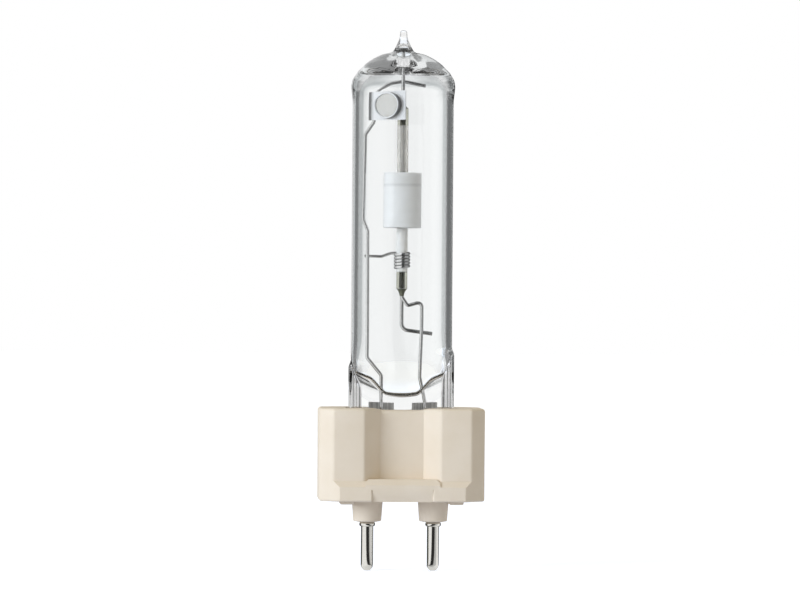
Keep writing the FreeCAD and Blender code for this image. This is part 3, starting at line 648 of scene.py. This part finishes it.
def getter_strip_material():
    # Bright strip, with painted shade: dark on the flange that is folded back at its left end, which lies
    # in shadow, and darker near the fold.
    mat = metal_material("getter_strip", grey(0.82), grey(0.86), rough=(0.40, 0.46), metallic=0.55)
    nodes, links = nodes_of(mat.node_tree)
    shader = nodes["Principled BSDF"]
    along = nodes.new("ShaderNodeVectorMath")
    along.operation = "DOT_PRODUCT"
    turn = math.radians(GETTER_ANGLE_DEG)
    along.inputs[1].default_value = (math.cos(turn), -math.sin(turn), 0)
    coords = nodes.new("ShaderNodeTexCoord")
    links.new(coords.outputs["Object"], along.inputs[0])
    fold = GETTER_FOLD[0] * math.cos(turn) - GETTER_FOLD[1] * math.sin(turn)
    start, end = (fold - GETTER_SHADES_BEFORE) * MM, (fold + GETTER_SHADES_AFTER) * MM
    share = share_between(nodes, links, along.outputs["Value"], start, end)
    # Painted shadow: the flange and the strip near the fold are darkened.
    shade_tones = ramp(nodes, links, share, GETTER_FLANGE_SHADES)
    body = shader.inputs["Base Color"].links[0].from_socket
    tint = mixed_colour(nodes, links, None, body, shade_tones.outputs["Color"], "MULTIPLY")
    links.new(tint, shader.inputs["Base Color"])
    return mat


def getter_cup_material():
    # Pressed cup of bright strip, with painted shade: its colour follows which way the surface faces,
    # light on the rim and dark on the side wall, which lies in shade.
    mat, nodes, links, shader = new_material("pressed_cup")
    surface = nodes.new("ShaderNodeNewGeometry")
    shade_facing = nodes.new("ShaderNodeVectorMath")
    shade_facing.operation = "DOT_PRODUCT"
    turn = math.radians(GETTER_ANGLE_DEG)
    shade_facing.inputs[1].default_value = (-math.sin(turn), -math.cos(turn), 0)
    links.new(surface.outputs["True Normal"], shade_facing.inputs[0])
    # Painted shade: dark where the surface faces one way, light where it faces the other.
    tint = ramp(nodes, links, shade_facing.outputs["Value"], [(0.3, grey(0.16)), (0.7, grey(0.86))])
    links.new(tint.outputs["Color"], shader.inputs["Base Color"])
    shader.inputs["Roughness"].default_value = 0.35
    shader.inputs["Metallic"].default_value = 0.5
    return mat


def smooth_shading_group():
    # Welds the vertices of a CAD mesh and smooths it, with edges over the angle left sharp.
    tree = bpy.data.node_groups.new("soft_shading", "GeometryNodeTree")
    tree.interface.new_socket("Geometry", in_out="INPUT", socket_type="NodeSocketGeometry")
    tree.interface.new_socket("Geometry", in_out="OUTPUT", socket_type="NodeSocketGeometry")
    nodes, links = nodes_of(tree)
    start = nodes.new("NodeGroupInput")
    end = nodes.new("NodeGroupOutput")
    weld = nodes.new("GeometryNodeMergeByDistance")
    weld.inputs["Distance"].default_value = WELD_DISTANCE * MM
    faces = nodes.new("GeometryNodeSetShadeSmooth")
    edges = nodes.new("GeometryNodeSetShadeSmooth")
    edges.domain = "EDGE"
    angle = nodes.new("GeometryNodeInputMeshEdgeAngle")
    flat = nodes.new("FunctionNodeCompare")
    flat.data_type = "FLOAT"
    flat.operation = "LESS_THAN"
    flat.inputs["B"].default_value = math.radians(SHARP_EDGE_DEG)
    links.new(start.outputs["Geometry"], weld.inputs["Geometry"])
    links.new(weld.outputs["Geometry"], faces.inputs["Geometry"])
    links.new(faces.outputs["Geometry"], edges.inputs["Geometry"])
    links.new(angle.outputs["Unsigned Angle"], flat.inputs["A"])
    links.new(flat.outputs["Result"], edges.inputs["Shade Smooth"])
    links.new(edges.outputs["Geometry"], end.inputs["Geometry"])
    return tree


def dress(node, material, group):
    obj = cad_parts[node]
    obj.data.materials.clear()
    obj.data.materials.append(material)
    soft = obj.modifiers.new("soft_shading", "NODES")
    soft.node_group = group


def studio_panels(nodes, links, coordinates, overhead):
    # What glass and metal mirror round the object: its brightness in the direction of the coordinates,
    # with the panel overhead for the backdrop and the dark middle for the floor.
    depth = nodes.new("ShaderNodeLightPath").outputs["Transmission Depth"]
    in_bulb = two_numbers(nodes, links, "GREATER_THAN", depth, SURFACES_TO_INSIDE)
    in_wall = two_numbers(nodes, links, "LESS_THAN", in_bulb, 0.5)
    coords = nodes.new("ShaderNodeTexCoord")
    parts = nodes.new("ShaderNodeSeparateXYZ")
    links.new(coords.outputs[coordinates], parts.inputs[0])
    angle = two_numbers(nodes, links, "ARCTAN2", parts.outputs["X"], parts.outputs["Y"])
    turn = share_between(nodes, links, angle, -math.pi, math.pi)
    outer, inner = [
        ramp(nodes, links, turn, [(degrees / 360, grey(value)) for degrees, value in panels])
        for panels in (PANELS, INNER_PANELS)
    ]
    brightness = mixed_colour(nodes, links, in_bulb, outer.outputs["Color"], inner.outputs["Color"])
    if overhead:
        high = share_between(nodes, links, parts.outputs["Z"], TOP_PANEL_START, TOP_PANEL_FULL)
        top = two_numbers(nodes, links, "MULTIPLY", in_wall, TOP_PANEL)
        top = two_numbers(nodes, links, "MULTIPLY", high, top)
        brightness = two_numbers(nodes, links, "MAXIMUM", brightness, top)
    else:
        # Painted shade: in a mirror the floor is dark near the object, as shade under it.
        distance = nodes.new("ShaderNodeVectorMath")
        distance.operation = "LENGTH"
        links.new(coords.outputs[coordinates], distance.inputs[0])
        away = share_between(
            nodes, links, distance.outputs["Value"], MIRRORED_FLOOR_DARK * MM, MIRRORED_FLOOR_BRIGHT * MM)
        brightness = two_numbers(nodes, links, "MULTIPLY", brightness, away)
    inside = two_numbers(nodes, links, "MINIMUM", depth, 1.0)
    least = two_numbers(nodes, links, "MULTIPLY", inside, GLASS_DARK)
    least = two_numbers(nodes, links, "MULTIPLY", least, in_wall)
    return two_numbers(nodes, links, "MAXIMUM", brightness, least)


def looked_at(nodes, links):
    # 1 for a ray that comes from the camera, also by way of metal or glass.
    path = nodes.new("ShaderNodeLightPath").outputs
    seen = two_numbers(nodes, links, "MAXIMUM", path["Is Camera Ray"], path["Is Glossy Ray"])
    return two_numbers(nodes, links, "MAXIMUM", seen, path["Is Transmission Ray"])


def mirrored_share(nodes, links):
    # 1 for a ray that glass or metal has mirrored.
    path = nodes.new("ShaderNodeLightPath")
    return two_numbers(nodes, links, "MINIMUM", path.outputs["Glossy Depth"], 1.0)


def white_world():
    # Soft light for the surfaces, plain white behind the object and through the glass, and the panels
    # in what mirrors.
    world = bpy.data.worlds.new("studio")
    bpy.context.scene.world = world
    world.use_nodes = True
    nodes, links = nodes_of(world.node_tree)
    nodes.clear()
    out = nodes.new("ShaderNodeOutputWorld")
    soft = nodes.new("ShaderNodeBackground")
    soft.inputs["Color"].default_value = (*WORLD_TINT, 1)
    soft.inputs["Strength"].default_value = WORLD_LIGHT
    white = nodes.new("ShaderNodeBackground")
    white.inputs["Color"].default_value = (1, 1, 1, 1)
    white.inputs["Strength"].default_value = 1.0
    mirrored = nodes.new("ShaderNodeBackground")
    links.new(studio_panels(nodes, links, "Generated", True), mirrored.inputs["Color"])
    seen = nodes.new("ShaderNodeMixShader")
    links.new(looked_at(nodes, links), seen.inputs[0])
    links.new(soft.outputs[0], seen.inputs[1])
    links.new(white.outputs[0], seen.inputs[2])
    reflected = nodes.new("ShaderNodeMixShader")
    links.new(mirrored_share(nodes, links), reflected.inputs[0])
    links.new(seen.outputs[0], reflected.inputs[1])
    links.new(mirrored.outputs[0], reflected.inputs[2])
    links.new(reflected.outputs[0], out.inputs["Surface"])


def floor_material():
    # Pale and matt. To the camera, also through the glass, it is white like the backdrop, less the
    # shadow, and whiter with distance, so that it meets the backdrop without a line. Metal and glass
    # mirror the panels in it.
    mat, nodes, links, shader = new_material("pale_floor")
    shader.inputs["Base Color"].default_value = (*FLOOR_TINT, 1)
    shader.inputs["Roughness"].default_value = 0.9
    shader.inputs["Specular IOR Level"].default_value = 0.1
    shader.inputs["Emission Color"].default_value = (1, 1, 1, 1)
    coords = nodes.new("ShaderNodeTexCoord")
    distance = nodes.new("ShaderNodeVectorMath")
    distance.operation = "LENGTH"
    links.new(coords.outputs["Object"], distance.inputs[0])
    lift = nodes.new("ShaderNodeMapRange")
    lift.inputs["From Min"].default_value = FLOOR_NEAR * MM
    lift.inputs["From Max"].default_value = FLOOR_FAR * MM
    lift.inputs["To Min"].default_value = FLOOR_LIFT_NEAR
    lift.inputs["To Max"].default_value = FLOOR_LIFT_FAR
    links.new(distance.outputs["Value"], lift.inputs["Value"])
    strength = two_numbers(nodes, links, "MULTIPLY", looked_at(nodes, links), lift.outputs["Result"])
    links.new(strength, shader.inputs["Emission Strength"])
    mirrored = nodes.new("ShaderNodeEmission")
    links.new(studio_panels(nodes, links, "Object", False), mirrored.inputs["Color"])
    mixed = nodes.new("ShaderNodeMixShader")
    links.new(mirrored_share(nodes, links), mixed.inputs[0])
    links.new(shader.outputs[0], mixed.inputs[1])
    links.new(mirrored.outputs[0], mixed.inputs[2])
    links.new(mixed.outputs[0], nodes["Material Output"].inputs["Surface"])
    return mat


def area_lamp(name, place, side, power):
    data = bpy.data.lights.new(name, "AREA")
    data.shape = "RECTANGLE"
    data.size = side * MM
    data.size_y = side * MM
    data.energy = power
    data.color = LIGHT_TINT
    lamp = linked_object(name, data)
    lamp.location = Vector(place) * MM
    toward = (Vector(LIGHT_AIM) - Vector(place)).normalized()
    lamp.rotation_euler = toward.to_track_quat("-Z", "Y").to_euler()
    lamp.visible_transmission = False
    lamp.visible_glossy = False


def studio():
    scene = bpy.context.scene
    scene.view_settings.view_transform = "Standard"
    scene.cycles.max_bounces = GLASS_BOUNCES
    scene.cycles.glossy_bounces = MIRROR_BOUNCES
    scene.cycles.transmission_bounces = GLASS_BOUNCES
    white_world()
    area_lamp("key_left", KEY_PLACE, KEY_SIDE, KEY_POWER)
    area_lamp("fill_back", FILL_PLACE, FILL_SIDE, FILL_POWER)
    mesh = bpy.data.meshes.new("floor")
    reach = FLOOR_REACH * MM
    level = (PIN_TIP - FLOOR_GAP) * MM
    corners = [(x * reach, y * reach, level) for x, y in ((-1, -1), (1, -1), (1, 1), (-1, 1))]
    mesh.from_pydata(corners, [], [(0, 1, 2, 3)])
    floor = linked_object("floor", mesh)
    mesh.materials.append(floor_material())


make_camera()
studio()
soft = smooth_shading_group()
ceramic = ceramic_material()
cement = matt_material(
    "lamp_cement", (0.60, 0.56, 0.48), (0.78, 0.74, 0.66), scale=1500.0, rough=0.9,
    detail=6.0, uneven=0.7, depth=0.12, strength=0.8)
molybdenum = metal_material("drawn_molybdenum", grey(0.70), grey(0.80), rough=(0.05, 0.10))
coil_metal = metal_material("bright_coil", grey(0.80), grey(0.86), rough=(0.08, 0.14))
foil_metal = metal_material("etched_foil", grey(0.44), grey(1.0), rough=(0.45, 0.65), stretch=0.06)
niobium = metal_material("drawn_niobium", grey(0.66), grey(0.76), rough=(0.08, 0.16))
tungsten = metal_material("tungsten", grey(0.2), grey(0.3), rough=(0.4, 0.5))
nickel = metal_material("nickel_plate", (0.74, 0.73, 0.69), (0.80, 0.79, 0.75), rough=(0.06, 0.12))
strip = getter_strip_material()
powder = matt_material("getter_powder", (0.46, 0.44, 0.40), (0.55, 0.525, 0.48), scale=3000.0, rough=0.6)
frit = matt_material("sealing_frit", (0.055, 0.055, 0.03), (0.11, 0.11, 0.07), scale=1500.0, rough=0.3)
salts = matt_material("halide_salts", (0.62, 0.50, 0.16), (0.80, 0.70, 0.34), scale=2000.0, rough=0.5)
alumina = alumina_material("milky_alumina", light=0.77, through=0.0, glow=2.2, shade_tones=TUBE_PLUG_SHADES)
capillary_top = capillary_material(
    "clear_alumina_upper", light=0.78, through=0.75, glow=0.5,
    low=CAPILLARY_HIGH - FRIT_DEPTH, high=CAPILLARY_HIGH)
capillary_end = capillary_material(
    "clear_alumina_lower", light=0.74, through=0.1, glow=0.5,
    low=CAPILLARY_LOW, high=CAPILLARY_LOW + FRIT_DEPTH)
quartz = glass_material()
FINISHES = {
    "ceramic_base": ceramic,
    "base_cement": cement,
    "contact_pin_left": nickel,
    "contact_pin_right": nickel,
    "lead_out_wire_left": molybdenum,
    "lead_out_wire_right": molybdenum,
    "outer_bulb": quartz,
    "sealing_foil_left": foil_metal,
    "sealing_foil_right": foil_metal,
    "frame_wire_long": molybdenum,
    "lead_in_wire_short": molybdenum,
    "discharge_tube": alumina,
    "end_plug_upper": alumina,
    "end_plug_lower": alumina,
    "capillary_upper": capillary_top,
    "capillary_lower": capillary_end,
    "sealing_frit_upper": frit,
    "sealing_frit_lower": frit,
    "feedthrough_upper": niobium,
    "feedthrough_lower": niobium,
    "molybdenum_rod_upper": molybdenum,
    "molybdenum_rod_lower": molybdenum,
    "electrode_upper": tungsten,
    "electrode_lower": tungsten,
    "electrode_coil_upper": tungsten,
    "electrode_coil_lower": tungsten,
    "starting_coil": coil_metal,
    "getter_plate": strip,
    "getter_cup": getter_cup_material(),
    "getter_fill": powder,
    "salt_dose": salts,
    "mercury_droplet": nickel,
}
for node, material in FINISHES.items():
    dress(node, material, soft)
quartz_bulb(quartz)
